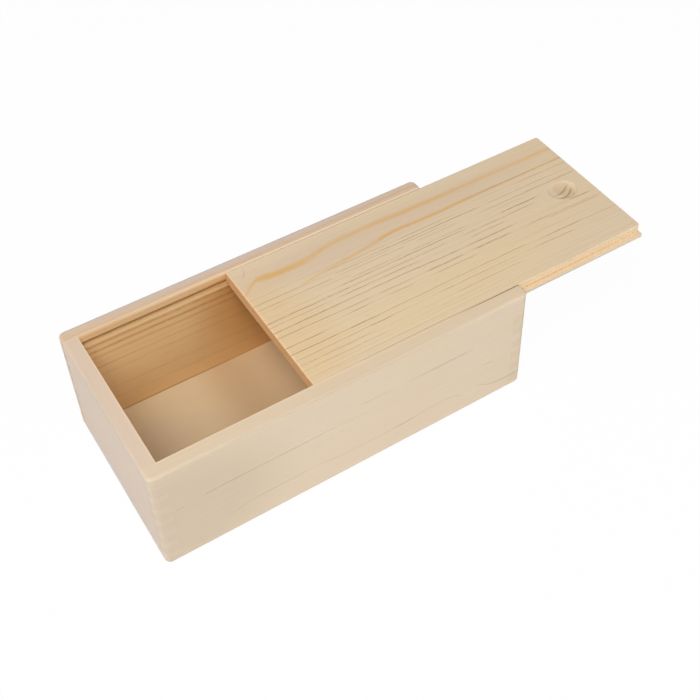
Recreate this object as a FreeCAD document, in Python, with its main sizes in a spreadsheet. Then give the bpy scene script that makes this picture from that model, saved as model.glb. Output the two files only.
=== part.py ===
import FreeCAD, Part
import Sketcher
import os

# Sliding lid box of solid pine, in millimetres.
# Frame: origin at the centre of the underside, +X towards the open end where the lid
# slides out, -Y the front long wall, +Z up. The lid is drawn partly open.

DRIVING_SIZES = [
    # outside of the box and the boards it is made of
    ("box_length", 200),
    ("box_width", 100),
    ("box_height", 65),
    ("wall", 7.5),
    # corner joints: equal fingers over the full height, with a thin glue line
    ("finger_count", 15),
    ("glue_line", 0.05),
    # eased outside edges
    ("corner_round", 3),
    ("rim_round", 1.5),
    ("foot_round", 2.8),
    # lid board and the tongues that its rabbets leave
    ("lid_thick", 6.7),
    ("tongue_thick", 1.9),
    ("tongue_reach", 2.45),
    ("lid_side_gap", 0.25),
    ("lid_end_gap", 0.2),
    ("lid_corner_round", 1.5),
    ("lid_edge_ease", 0.5),
    ("lid_open", 77),
    # grooves that the tongues run in
    ("groove_depth", 2.7),
    ("groove_play", 0.2),
    # low end wall that the lid passes over
    ("lid_clearance", 0.3),
    ("low_rim_round", 1),
    # plywood bottom, let into a rebate flush with the underside
    ("panel_thick", 2.5),
    ("rebate_width", 3),
    ("panel_gap", 0.1),
    # thumb scoop: part of an ellipsoid that stands above the lid, tipped in degrees
    ("scoop_from_end", 17.8),
    ("scoop_half_length", 11.2),
    ("scoop_half_width", 9.1),
    ("scoop_half_depth", 5),
    ("scoop_rise", 3.3),
    ("scoop_tip", 8),
]

BEYOND = 2.0        # how far a cut runs past the wood that it opens
SAME = 1e-4         # coordinates closer than this are the same

# Places that several pieces share, as expressions on the sheet.
HALF_LENGTH = "Sizes.box_length / 2"
HALF_WIDTH = "Sizes.box_width / 2"
INNER_HALF_LENGTH = "(Sizes.box_length / 2 - Sizes.wall)"
INNER_HALF_WIDTH = "(Sizes.box_width / 2 - Sizes.wall)"
FINGER = "Sizes.box_height / Sizes.finger_count"
GROOVE_FLOOR = "Sizes.box_height - Sizes.lid_thick"
GROOVE_CEILING = "Sizes.box_height - Sizes.lid_thick + Sizes.tongue_thick + Sizes.groove_play"
LOW_WALL_TOP = "(Sizes.box_height - Sizes.lid_thick - Sizes.lid_clearance)"
LID_LENGTH = "(Sizes.box_length - Sizes.wall - 2 * Sizes.lid_end_gap)"
LID_HALF_TOP = "(Sizes.box_width / 2 - Sizes.wall - Sizes.lid_side_gap)"

# Fingers of the end walls: every second one counted from the underside.
FULL_JOINT_FINGERS = "(Sizes.finger_count - 1) / 2"
LOW_JOINT_FINGERS = "floor(%s / (2 * %s))" % (LOW_WALL_TOP, FINGER)

doc = FreeCAD.newDocument("SlidingLidBox")


def make_sheet():
    """The spreadsheet of driving sizes: one plain number with an alias in each row."""
    sheet = doc.addObject("Spreadsheet::Sheet", "Sizes")
    for row, (alias, number) in enumerate(DRIVING_SIZES, start=1):
        sheet.set("A%d" % row, alias)
        sheet.set("B%d" % row, str(number))
        sheet.setAlias("B%d" % row, alias)
    doc.recompute()
    return sheet


def number_of(alias):
    """A driving size as a number, read back from the sheet."""
    return float(getattr(sizes, alias))


def origin_plane(body, role):
    return next(plane for plane in body.Origin.OriginFeatures if plane.Role == role)


def new_body(name):
    body = doc.addObject("PartDesign::Body", name)
    body.Label = name
    return body


def new_sketch(body, name, role):
    sketch = body.newObject("Sketcher::SketchObject", name)
    sketch.AttachmentSupport = [(origin_plane(body, role), "")]
    sketch.MapMode = "FlatFace"
    return sketch


def add_rectangle(sketch, tag, left, right, low, high):
    """A rectangle whose sides stand at four expressions, measured from the origin."""
    first = sketch.GeometryCount
    corners = [FreeCAD.Vector(x, y, 0) for x, y in ((-1, -1), (1, -1), (1, 1), (-1, 1))]
    for start, end in zip(corners, corners[1:] + corners[:1]):
        sketch.addGeometry(Part.LineSegment(start, end), False)
    for side in range(4):
        following = first + (side + 1) % 4
        sketch.addConstraint(Sketcher.Constraint("Coincident", first + side, 2, following, 1))
        run = "Horizontal" if side % 2 == 0 else "Vertical"
        sketch.addConstraint(Sketcher.Constraint(run, first + side))
    places = [
        ("left", "DistanceX", first, left, -1.0),
        ("right", "DistanceX", first + 1, right, 1.0),
        ("low", "DistanceY", first, low, -1.0),
        ("high", "DistanceY", first + 2, high, 1.0),
    ]
    for side_name, kind, line, expression, drawn_at in places:
        index = sketch.addConstraint(Sketcher.Constraint(kind, -1, 1, line, 1, drawn_at))
        name = "%s_%s" % (tag, side_name)
        sketch.renameConstraint(index, name)
        sketch.setExpression("Constraints.%s" % name, str(expression))


def add_board(body, left, right, low, high, thickness):
    """The blank that a piece is cut from: a plan rectangle raised from the XY plane."""
    plan = new_sketch(body, body.Name + "_plan", "XY_Plane")
    add_rectangle(plan, "board", left, right, low, high)
    board = body.newObject("PartDesign::Pad", body.Name + "_board")
    board.Profile = plan
    board.setExpression("Length", thickness)
    doc.recompute()
    return board


def cut_through(body, name, sketch, length=None):
    """Cut a sketch both ways from its plane: right through, or over a length."""
    before = body.Shape.Volume
    cut = body.newObject("PartDesign::Pocket", name)
    cut.Profile = sketch
    cut.SideType = "Symmetric"
    if length is None:
        cut.Type = "ThroughAll"
    else:
        cut.Type = "Length"
        cut.setExpression("Length", length)
    doc.recompute()
    if not cut.Shape.Volume < before - 1:
        raise RuntimeError("%s takes no wood away" % name)
    return cut


def repeat_upwards(body, cut, count):
    """Repeat a finger's socket up the corner, two fingers apart."""
    pattern = body.newObject("PartDesign::LinearPattern", cut.Name + "s")
    pattern.Originals = [cut]
    pattern.Direction = (origin_plane(body, "Z_Axis"), [""])
    pattern.setExpression("Occurrences", count)
    pattern.setExpression("Length", "(%s - 1) * 2 * %s" % (count, FINGER))
    body.Tip = pattern
    doc.recompute()
    return pattern


def mirror_across(body, cut, role):
    mirror = body.newObject("PartDesign::Mirrored", cut.Name + "_pair")
    mirror.Originals = [cut]
    mirror.MirrorPlane = (origin_plane(body, role), [""])
    body.Tip = mirror
    doc.recompute()
    return mirror


def round_edges(body, name, radius, wanted):
    """Round every edge of the body whose two ends both pass a test."""
    base = body.Tip
    names = []
    for index, edge in enumerate(base.Shape.Edges, start=1):
        ends = [vertex.Point for vertex in edge.Vertexes]
        if len(ends) == 2 and wanted(*ends):
            names.append("Edge%d" % index)
    fillet = body.newObject("PartDesign::Fillet", name)
    fillet.Base = (base, names)
    fillet.setExpression("Radius", "Sizes.%s" % radius)
    doc.recompute()
    return fillet


def near(value, target):
    return abs(value - target) < SAME


def ease_wall(body, rim_radius, height, on_inner_face, is_outer_corner):
    """Round a wall's outer corners, then the outer edges of its rim and of its foot."""
    round_edges(
        body, body.Name + "_corners", "corner_round",
        lambda a, b: is_outer_corner(a) and is_outer_corner(b) and not near(a.z, b.z),
    )
    for name, radius, level in (("rim", rim_radius, height), ("foot", "foot_round", 0)):
        round_edges(
            body, body.Name + "_" + name, radius,
            lambda a, b: near(a.z, level) and near(b.z, level)
            and not (on_inner_face(a) and on_inner_face(b)),
        )


def side_wall(name, side):
    """A long wall, on side -1 or +1 of Y, with sockets for the end walls' fingers."""
    body = new_body(name)
    outer = "%d * %s" % (side, HALF_WIDTH)
    inner = "%d * %s" % (side, INNER_HALF_WIDTH)
    add_board(body, "-" + HALF_LENGTH, HALF_LENGTH, outer, inner, "Sizes.box_height")

    outer_y = side * number_of("box_width") / 2
    inner_y = outer_y - side * number_of("wall")
    ease_wall(
        body, "rim_round", number_of("box_height"),
        lambda point: near(point.y, inner_y),
        lambda point: near(point.y, outer_y),
    )

    # Sockets over the full height at the closed end, and up to the low wall at the other.
    past_end = "(%s + %s)" % (HALF_LENGTH, BEYOND)
    for end, direction, count in (("closed", -1, FULL_JOINT_FINGERS), ("open", 1, LOW_JOINT_FINGERS)):
        face = new_sketch(body, "%s_%s_end" % (name, end), "XZ_Plane")
        add_rectangle(
            face, "socket",
            "%d * %s" % (direction, INNER_HALF_LENGTH), "%d * %s" % (direction, past_end),
            FINGER, "2 * " + FINGER,
        )
        socket = cut_through(body, "%s_%s_socket" % (name, end), face)
        repeat_upwards(body, socket, count)

    # The groove that the lid's tongue runs in is ploughed from end to end.
    inside = "%d * (%s - %s)" % (side, INNER_HALF_WIDTH, BEYOND)
    section = new_sketch(body, name + "_groove_section", "YZ_Plane")
    groove_back = "%d * (%s + Sizes.groove_depth)" % (side, INNER_HALF_WIDTH)
    add_rectangle(section, "groove", inside, groove_back, GROOVE_FLOOR, GROOVE_CEILING)
    cut_through(body, name + "_groove", section)

    # The rebate for the bottom stops inside the corners.
    section = new_sketch(body, name + "_rebate_section", "YZ_Plane")
    rebate_back = "%d * (%s + Sizes.rebate_width)" % (side, INNER_HALF_WIDTH)
    add_rectangle(section, "rebate", inside, rebate_back, -BEYOND, "Sizes.panel_thick")
    rebate_length = "2 * (%s + Sizes.rebate_width)" % INNER_HALF_LENGTH
    cut_through(body, name + "_rebate", section, rebate_length)
    return body


def end_wall(name, side, height, rim_radius, height_number):
    """A short wall, on side -1 or +1 of X, whose fingers fill the long walls' sockets."""
    body = new_body(name)
    outer = "%d * %s" % (side, HALF_LENGTH)
    inner = "%d * %s" % (side, INNER_HALF_LENGTH)
    add_board(body, outer, inner, "-" + HALF_WIDTH, HALF_WIDTH, height)

    outer_x = side * number_of("box_length") / 2
    inner_x = outer_x - side * number_of("wall")
    ease_wall(
        body, rim_radius, height_number,
        lambda point: near(point.x, inner_x),
        lambda point: near(point.x, outer_x),
    )

    # The long walls' fingers take the first place at the foot, then every second one.
    lowest = "-Sizes.glue_line"
    highest = "%s + Sizes.glue_line" % FINGER
    add_corner_cuts(body, "socket", lowest, highest)
    socket = cut_through(body, name + "_socket", doc.getObject(name + "_socket_face"))
    full_height = near(height_number, number_of("box_height"))
    count = "(%s + 1)" % FULL_JOINT_FINGERS if full_height else LOW_JOINT_FINGERS
    repeat_upwards(body, socket, count)
    if not full_height:
        # Above the last finger the long walls run past to their ends.
        above = "2 * %s * %s - Sizes.glue_line" % (LOW_JOINT_FINGERS, FINGER)
        add_corner_cuts(body, "shoulder", above, "Sizes.box_height")
        cut_through(body, name + "_shoulder", doc.getObject(name + "_shoulder_face"))

    section = new_sketch(body, name + "_rebate_section", "XZ_Plane")
    inside = "%d * (%s - %s)" % (side, INNER_HALF_LENGTH, BEYOND)
    rebate_back = "%d * (%s + Sizes.rebate_width)" % (side, INNER_HALF_LENGTH)
    add_rectangle(section, "rebate", inside, rebate_back, -BEYOND, "Sizes.panel_thick")
    cut_through(body, name + "_rebate", section)
    return body


def add_corner_cuts(body, tag, low, high):
    """A sketch across an end wall with one rectangle at each of its two corners."""
    face = new_sketch(body, "%s_%s_face" % (body.Name, tag), "YZ_Plane")
    past_corner = "(%s + %s)" % (HALF_WIDTH, BEYOND)
    add_rectangle(face, "front", "-" + past_corner, "-" + INNER_HALF_WIDTH, low, high)
    add_rectangle(face, "back", INNER_HALF_WIDTH, past_corner, low, high)
    return face


def bottom_panel():
    """The plywood bottom, flush with the underside of the walls."""
    body = new_body("bottom_panel")
    reach_x = "(%s + Sizes.rebate_width - Sizes.panel_gap)" % INNER_HALF_LENGTH
    reach_y = "(%s + Sizes.rebate_width - Sizes.panel_gap)" % INNER_HALF_WIDTH
    add_board(body, "-" + reach_x, reach_x, "-" + reach_y, reach_y, "Sizes.panel_thick")
    return body


def sliding_lid():
    """The lid, drawn with its inner end at X 0 and its underside at Z 0, then placed."""
    body = new_body("sliding_lid")
    reach_y = "(%s + Sizes.tongue_reach)" % LID_HALF_TOP
    add_board(body, "0", LID_LENGTH, "-" + reach_y, reach_y, "Sizes.lid_thick")

    # A rabbet along each upper edge leaves the tongues.
    section = new_sketch(body, "lid_rabbet_section", "YZ_Plane")
    past_edge = "%s + %s" % (reach_y, BEYOND)
    past_top = "Sizes.lid_thick + %s" % BEYOND
    add_rectangle(section, "rabbet", LID_HALF_TOP, past_edge, "Sizes.tongue_thick", past_top)
    rabbet = cut_through(body, "lid_rabbet", section)
    mirror_across(body, rabbet, "XZ_Plane")

    length = number_of("box_length") - number_of("wall") - 2 * number_of("lid_end_gap")
    half_top = number_of("box_width") / 2 - number_of("wall") - number_of("lid_side_gap")
    top = number_of("lid_thick")
    round_edges(
        body, "lid_free_corners", "lid_corner_round",
        lambda a, b: near(a.x, length) and near(b.x, length)
        and near(abs(a.y), half_top) and near(a.y, b.y),
    )
    round_edges(
        body, "lid_top_edges", "lid_edge_ease",
        lambda a, b: near(a.z, top) and near(b.z, top),
    )

    # The scoop is dug by an ellipsoid that hangs over the lid, deeper at its far side.
    scoop = body.newObject("PartDesign::SubtractiveEllipsoid", "thumb_scoop")
    scoop.setExpression("Radius1", "Sizes.scoop_half_depth")
    scoop.setExpression("Radius2", "Sizes.scoop_half_length")
    scoop.setExpression("Radius3", "Sizes.scoop_half_width")
    scoop.Placement.Rotation = FreeCAD.Rotation(FreeCAD.Vector(0, 1, 0), number_of("scoop_tip"))
    scoop.setExpression("Placement.Base.x", "%s - Sizes.scoop_from_end" % LID_LENGTH)
    scoop.setExpression("Placement.Base.z", "Sizes.lid_thick + Sizes.scoop_rise")

    body.setExpression(
        "Placement.Base.x", "Sizes.lid_open + Sizes.lid_end_gap - %s" % INNER_HALF_LENGTH)
    body.setExpression("Placement.Base.z", GROOVE_FLOOR)
    doc.recompute()
    return body


def check(pieces):
    """Stop if any feature failed, or if a piece isn't one valid solid."""
    for item in doc.Objects:
        if "Invalid" in item.State or "Error" in item.State:
            raise RuntimeError("%s failed to build" % item.Name)
    for piece in pieces:
        shape = piece.Shape
        if shape.isNull() or not shape.isValid() or len(shape.Solids) != 1:
            raise RuntimeError("%s is not one valid solid" % piece.Label)


sizes = make_sheet()
box_top = number_of("box_height")
low_wall_top = box_top - number_of("lid_thick") - number_of("lid_clearance")
pieces = [
    side_wall("front_wall", -1),
    side_wall("back_wall", 1),
    end_wall("closed_end_wall", -1, "Sizes.box_height", "rim_round", box_top),
    end_wall("open_end_wall", 1, LOW_WALL_TOP, "low_rim_round", low_wall_top),
    bottom_panel(),
    sliding_lid(),
]
doc.recompute()
check(pieces)

os.makedirs("parts", exist_ok=True)
for piece in pieces:
    piece.Shape.exportStep("parts/%s.step" % piece.Label)
    print("%-16s %9.1f mm3  %s" % (piece.Label, piece.Shape.Volume, piece.Shape.BoundBox))
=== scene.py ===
import math
from dataclasses import dataclass, field

import bpy
from mathutils import Matrix, Vector


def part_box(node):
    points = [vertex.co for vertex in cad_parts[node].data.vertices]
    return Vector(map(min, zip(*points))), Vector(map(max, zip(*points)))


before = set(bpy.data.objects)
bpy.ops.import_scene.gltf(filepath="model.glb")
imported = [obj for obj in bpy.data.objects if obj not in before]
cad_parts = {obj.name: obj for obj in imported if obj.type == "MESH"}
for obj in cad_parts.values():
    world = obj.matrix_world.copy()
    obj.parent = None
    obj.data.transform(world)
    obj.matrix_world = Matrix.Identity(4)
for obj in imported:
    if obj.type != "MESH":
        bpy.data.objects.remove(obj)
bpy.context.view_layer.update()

MM = 0.001


# ---------------------------------------------------------------- colours

def srgb(red, green, blue):
    """A colour given as 0 to 255 on a screen, as the linear RGBA that a socket takes."""
    def linear(level):
        share = level / 255
        return share / 12.92 if share <= 0.04045 else ((share + 0.055) / 1.055) ** 2.4
    return (linear(red), linear(green), linear(blue), 1.0)


WHITE = (1.0, 1.0, 1.0, 1.0)
LINE_BROWN = srgb(150, 116, 76)
GLUE_GREY = srgb(114, 99, 80)
AMBER = srgb(216, 170, 104)


# ---------------------------------------------------------------- measures
# Lengths are in millimetres: X along the box, Y across it, Z up from its underside.

BOX_LENGTH, BOX_WIDTH, BOX_HEIGHT = 200.0, 100.0, 65.0
HALF_SPAN = {"X": BOX_LENGTH / 2, "Y": BOX_WIDTH / 2}
WALL_THICKNESS = 7.5
PANEL_THICKNESS = 2.5

# The heights of the lid's groove, of where the painted light and shade of the rim's top starts, and of
# where the lines of glue in the corner joints end.
GROOVE_FROM, GROOVE_TO = 58.25, 60.45
RIM_FROM = BOX_HEIGHT - 2.5
JOINT_TOP = BOX_HEIGHT - 1.0

# A corner has fifteen fingers, and a line of glue reaches this far from its middle.
FINGER_PITCH = BOX_HEIGHT / 15
GLUE_HAIRLINE = 0.2

# Depths below a board's outer face: the look of its arrises changes from the first of the
# pair to the second, and a wall's inner face lies just beyond the last.
ARRIS_CHANGES = (3.0, 6.0)
INNER_FACE = WALL_THICKNESS - 0.03

# How far in from an arris the paler sanded strip and its painted highlight reach.
ARRIS_STRIP_WIDTH = 1.3

# How much the growth rings' spacing varies, and how strongly they show on the end grain.
RING_UNEVENNESS = 1.6
END_RING_STRENGTH = 0.3

# How strongly the rings show that the thumb scoop cuts, and where along the lid they fade in.
ARC_STRENGTH = 0.85
ARCS_FADE_IN = (152.5, 159.5)


# ---------------------------------------------------------------- node wiring

class Wiring:
    """Adds nodes to one shader tree. Most methods return the output of the last node added."""

    def __init__(self, tree):
        self.tree = tree

    def node(self, kind, **settings):
        made = self.tree.nodes.new(kind)
        for name, value in settings.items():
            setattr(made, name, value)
        return made

    def feed(self, socket, value):
        """Link a socket to an output, or set it to a plain value."""
        if isinstance(value, bpy.types.NodeSocket):
            self.tree.links.new(value, socket)
        else:
            socket.default_value = value

    def math(self, operation, *values, clamp=False):
        made = self.node("ShaderNodeMath", operation=operation, use_clamp=clamp)
        for socket, value in zip(made.inputs, values):
            self.feed(socket, value)
        return made.outputs[0]

    def product(self, first, *others):
        for other in others:
            first = self.math("MULTIPLY", first, other)
        return first

    def vector(self, operation, *values):
        made = self.node("ShaderNodeVectorMath", operation=operation)
        for socket, value in zip(made.inputs, values):
            self.feed(socket, value)
        scalar = operation in ("LENGTH", "DOT_PRODUCT", "DISTANCE")
        return made.outputs["Value" if scalar else "Vector"]

    def split(self, vector):
        made = self.node("ShaderNodeSeparateXYZ")
        self.feed(made.inputs[0], vector)
        return made.outputs[0], made.outputs[1], made.outputs[2]

    def join(self, x, y, z):
        made = self.node("ShaderNodeCombineXYZ")
        for socket, value in zip(made.inputs, (x, y, z)):
            self.feed(socket, value)
        return made.outputs[0]

    def remap(self, value, from_low, from_high, to_low=0.0, to_high=1.0, smooth=False):
        kind = "SMOOTHSTEP" if smooth else "LINEAR"
        made = self.node("ShaderNodeMapRange", interpolation_type=kind)
        for socket, number in zip(made.inputs, (value, from_low, from_high, to_low, to_high)):
            self.feed(socket, number)
        return made.outputs[0]

    def near(self, value, place, reach):
        """1 where the value is at the place, falling to 0 at the reach from it."""
        off = self.math("ABSOLUTE", self.math("SUBTRACT", value, place))
        return self.remap(off, 0.0, reach, 1.0, 0.0, smooth=True)

    def between(self, value, low, high):
        """1 where the value lies between the two limits, 0 elsewhere."""
        above = self.math("GREATER_THAN", value, low)
        return self.product(above, self.math("LESS_THAN", value, high))

    def square(self, value):
        return self.math("POWER", self.math("ABSOLUTE", value), 2.0)

    def moved_by_seed(self, place, seed, along=0.0, across=0.0):
        """A board's place moved by its seed, so that no two boards get the same noise."""
        step_along = self.math("MULTIPLY", seed, along)
        step_across = self.math("MULTIPLY", seed, across)
        return self.vector("ADD", place, self.join(step_along, step_across, 0.0))

    def noise(self, vector, stretch, detail=2.0, roughness=0.5):
        """Noise that makes one turn in about 1/stretch millimetres along each axis."""
        made = self.node("ShaderNodeTexNoise")
        self.feed(made.inputs["Vector"], self.vector("MULTIPLY", vector, stretch))
        for name, value in (("Scale", 1.0), ("Detail", detail), ("Roughness", roughness)):
            self.feed(made.inputs[name], value)
        return made.outputs["Fac"]

    def mix(self, share, first, second, blend="MIX"):
        """Two colours mixed. A mix node's colour sockets are its inputs 6 and 7 and its output 2."""
        made = self.node("ShaderNodeMix", data_type="RGBA", blend_type=blend)
        first_colour, second_colour, mixed_colour = made.inputs[6], made.inputs[7], made.outputs[2]
        self.feed(made.inputs["Factor"], share)
        self.feed(first_colour, first)
        self.feed(second_colour, second)
        return mixed_colour

    def curve(self, value, points):
        """A smooth curve through a few points, all of them between 0 and 1."""
        made = self.node("ShaderNodeFloatCurve")
        self.feed(made.inputs["Value"], value)
        line = made.mapping.curves[0]
        line.points[0].location = points[0]
        line.points[1].location = points[-1]
        for point in points[1:-1]:
            line.points.new(*point)
        for point in line.points:
            point.handle_type = "AUTO_CLAMPED"
        made.mapping.update()
        return made.outputs[0]

    def group(self, tree, **values):
        made = self.node("ShaderNodeGroup", node_tree=tree)
        for name, value in values.items():
            self.feed(made.inputs[name.replace("_", " ").title()], value)
        return made.outputs


def new_group(name, inputs, outputs):
    """An empty shader node group; returns its tree, its wiring and its input and output sockets."""
    tree = bpy.data.node_groups.new(name, "ShaderNodeTree")
    kinds = {"float": "NodeSocketFloat", "vector": "NodeSocketVector"}
    for direction, sockets in (("INPUT", inputs), ("OUTPUT", outputs)):
        for label, kind in sockets.items():
            tree.interface.new_socket(label, in_out=direction, socket_type=kinds[kind])
    wiring = Wiring(tree)
    taken = wiring.node("NodeGroupInput").outputs
    given = wiring.node("NodeGroupOutput").inputs
    return tree, wiring, taken, given


# ---------------------------------------------------------------- shared wood effects
# All of them work in millimetres. A board's place is a vector: along its grain, across its
# main face, and depth below that face.

def ring_place_group():
    """Where the growth ring at a point would come up to the board's main face.

    The rings are cylinders round a pith that lies beneath the face, a little wavy along the
    board, so the same rings show as lines on the faces and as arcs on the end grain.
    """
    tree, w, taken, given = new_group(
        "ring_place",
        {"Place": "vector", "Pith Across": "float", "Pith Depth": "float", "Wander": "float",
         "Seed": "float"},
        {"Ring Place": "float"},
    )
    ripple_width = 0.8
    shifted = w.moved_by_seed(taken["Place"], taken["Seed"], along=140.0)
    sway = w.math("SUBTRACT", w.noise(shifted, (0.007, 0.022, 0.022), detail=1.0), 0.5)
    ripple = w.math("SUBTRACT", w.noise(shifted, (0.09, 0.16, 0.16), detail=2.0), 0.5)
    _, across, depth = w.split(taken["Place"])
    across = w.math("MULTIPLY_ADD", sway, taken["Wander"], across)
    across = w.math("MULTIPLY_ADD", ripple, ripple_width, across)
    from_pith = w.math("SUBTRACT", across, taken["Pith Across"])
    height = w.math("SUBTRACT", taken["Pith Depth"], depth)
    radius_squared = w.math("ADD", w.square(from_pith), w.square(height))
    beyond_face = w.math("SUBTRACT", radius_squared, w.square(taken["Pith Depth"]))
    reach = w.math("SQRT", w.math("MAXIMUM", beyond_face, 0.0))
    signed = w.math("MULTIPLY", reach, w.math("SIGN", from_pith))
    w.feed(given["Ring Place"], w.math("ADD", signed, taken["Pith Across"]))
    return tree


def growth_rings_group():
    """Yearly rings at an uneven spacing: slow to darken, quick to fade, broken up lengthways."""
    tree, w, taken, given = new_group(
        "growth_rings",
        {"Ring Place": "float", "Place": "vector", "Spacing": "float", "Unevenness": "float",
         "Seed": "float"},
        {"Late Wood": "float"},
    )
    year = w.math("DIVIDE", taken["Ring Place"], taken["Spacing"])
    jitter = w.noise(w.join(year, taken["Seed"], 0.0), (0.45, 1.0, 1.0), detail=1.0)
    jitter = w.math("SUBTRACT", jitter, 0.5)
    phase = w.math("FRACT", w.math("MULTIPLY_ADD", jitter, taken["Unevenness"], year))
    rise = w.math("POWER", phase, 5.0)
    fall = w.remap(phase, 0.9, 1.0, 1.0, 0.0, smooth=True)
    shifted = w.moved_by_seed(taken["Place"], taken["Seed"], across=9.0)
    presence = w.remap(w.noise(shifted, (0.02, 0.3, 0.3)), 0.35, 0.65, 0.25, 1.0, smooth=True)
    darkness = w.math("MULTIPLY", w.product(rise, fall), presence, clamp=True)
    w.feed(given["Late Wood"], darkness)
    return tree


def wood_fibre_group():
    """The fine fibres of planed pine, its resin canals, its slow change of tone and its breaks."""
    tree, w, taken, given = new_group(
        "wood_fibre", {"Place": "vector", "Seed": "float"},
        {"Fibre": "float", "Fleck": "float", "Cloud": "float", "Breaks": "float"},
    )
    shifted = w.moved_by_seed(taken["Place"], taken["Seed"], along=31.0)
    coarse = w.noise(shifted, (0.035, 0.9, 0.9), detail=3.0, roughness=0.6)
    fine = w.noise(shifted, (0.14, 4.5, 4.5), detail=2.0, roughness=0.6)
    w.feed(given["Fibre"], w.math("MULTIPLY_ADD", coarse, 0.6, w.math("MULTIPLY", fine, 0.4)))
    dashes = w.noise(shifted, (0.2, 2.6, 2.6), detail=0.0)
    w.feed(given["Fleck"], w.remap(dashes, 0.68, 0.78, smooth=True))
    w.feed(given["Cloud"], w.noise(shifted, (0.012, 0.035, 0.035)))
    long_breaks = w.noise(shifted, (0.07, 0.7, 0.7), detail=1.0)
    short_breaks = w.noise(shifted, (0.4, 1.2, 1.2), detail=1.0)
    both = w.math("MULTIPLY_ADD", long_breaks, 0.55, w.math("MULTIPLY", short_breaks, 0.45))
    w.feed(given["Breaks"], w.remap(both, 0.36, 0.54, 0.45, 1.0, smooth=True))
    return tree


def end_grain_group():
    """How far a face is cut across the fibres, and the fine pitting that shows there."""
    tree, w, taken, given = new_group(
        "end_grain", {"Place": "vector", "Facing": "float"},
        {"End": "float", "Pits": "float"},
    )
    w.feed(given["End"], w.remap(w.math("ABSOLUTE", taken["Facing"]), 0.45, 0.9, smooth=True))
    w.feed(given["Pits"], w.noise(taken["Place"], (0.6, 3.2, 3.2)))
    return tree


def board_edge_group():
    """The strip along the arrises of a board, where sanding and a painted highlight show.

    A point is near an edge when it is near two of the board's faces, so the second smallest
    of the three distances to the faces tells how near.
    """
    tree, w, taken, given = new_group(
        "board_edge", {"Position": "vector", "Low": "vector", "High": "vector", "Width": "float"},
        {"Edge": "float"},
    )
    from_low = w.vector("ABSOLUTE", w.vector("SUBTRACT", taken["Position"], taken["Low"]))
    from_high = w.vector("ABSOLUTE", w.vector("SUBTRACT", taken["High"], taken["Position"]))
    x, y, z = w.split(w.vector("MINIMUM", from_low, from_high))
    smallest = w.math("MINIMUM", w.math("MINIMUM", x, y), z)
    largest = w.math("MAXIMUM", w.math("MAXIMUM", x, y), z)
    total = w.math("ADD", w.math("ADD", x, y), z)
    middle = w.math("SUBTRACT", w.math("SUBTRACT", total, smallest), largest)
    w.feed(given["Edge"], w.remap(middle, 0.0, taken["Width"], 1.0, 0.0, smooth=True))
    return tree


def glue_line_group():
    """The thin dark lines round the fingers of a corner joint.

    They lie between the rows of fingers, from the corner to as far in as the boards are thick,
    and along the inner end of each finger's end grain. Width is half a line's width.
    """
    full_dark_width = 0.05
    tree, w, taken, given = new_group(
        "glue_line",
        {"Height": "float", "From Corner": "float", "Depth": "float", "End": "float",
         "Pitch": "float", "Thickness": "float", "Rim": "float", "Width": "float"},
        {"Glue": "float"},
    )
    rows = w.math("ADD", w.math("DIVIDE", taken["Height"], taken["Pitch"]), 0.5)
    below_rim = w.math("LESS_THAN", taken["Height"], taken["Rim"])
    from_line = w.math("ABSOLUTE", w.math("SUBTRACT", w.math("FRACT", rows), 0.5))
    from_line = w.product(from_line, taken["Pitch"])
    between_rows = w.remap(from_line, full_dark_width, taken["Width"], 1.0, 0.0, smooth=True)
    joined = w.math("LESS_THAN", taken["From Corner"], taken["Thickness"])
    shoulder = w.product(w.near(taken["Depth"], taken["Thickness"], GLUE_HAIRLINE), taken["End"])
    w.feed(given["Glue"], w.math("MAXIMUM", w.product(between_rows, joined, below_rim), shoulder))
    return tree


RING_PLACE = ring_place_group()
GROWTH_RINGS = growth_rings_group()
WOOD_FIBRE = wood_fibre_group()
END_GRAIN = end_grain_group()
BOARD_EDGE = board_edge_group()
GLUE_LINE = glue_line_group()


# ---------------------------------------------------------------- pine boards

@dataclass
class Board:
    """How one board was cut and what its wood looks like, in millimetres.

    along, across and depth each name an axis with its sign and offset, so that depth is 0 on
    the outer face and grows inwards.

    side tones: an axis, its sign, and the tone of the faces that look that way, as painted light and
    shade.
    patches: centre, radii, tone and strength of soft ovals of other tones, most of them painted light and
    shade.
    lines, streaks: a path of (along, across) points, half the width, and the strength at
    places along the board. Lines are drawn as they show at figured_depth, streaks as they
    show on the outer face.
    scoop_rings: middle (x, y) and radius of an arc, the y at which it fades, its strength.
    inner_roll: how far the inner arrises look rolled over.
    groove tones: the tone low and high in the lid's groove, painted shade at its foot and painted light
    at its top.
    the redder inner face: from where to where along the inner face it turns redder, and its tone there,
    as painted shade of the lid.
    glue: how dark the joint lines are at the start and at the end of the board; worn_glue is
    half their width at the very corner, where sanding has opened them.
    """

    node: str
    along: tuple
    across: tuple
    depth: tuple
    pale: tuple
    warm: tuple
    late: tuple
    end: tuple
    pith_across: float
    pith_depth: float
    wander: float
    seed: float
    ring_spacing: float
    ring_strength: float
    side_light_and_shade: list = field(default_factory=list)
    tone_and_light_patches: list = field(default_factory=list)
    lines: list = field(default_factory=list)
    streaks: list = field(default_factory=list)
    scoop_rings: list = field(default_factory=list)
    line_strength: float = 1.0
    line_colour: tuple = LINE_BROWN
    figured_depth: float = 0.0
    inner_roll: float = 0.0
    # The arrises' tone: paler sanded wood and a painted highlight.
    edge_colour: tuple = srgb(240, 212, 180)
    edge_outside: float = 0.1
    edge_inside: float = 0.45
    groove_shade_and_light: tuple = ()
    painted_lid_shade: tuple = ()
    jointed: bool = True
    glue: tuple = (0.12, 0.12)
    worn_glue: float = GLUE_HAIRLINE


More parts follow.
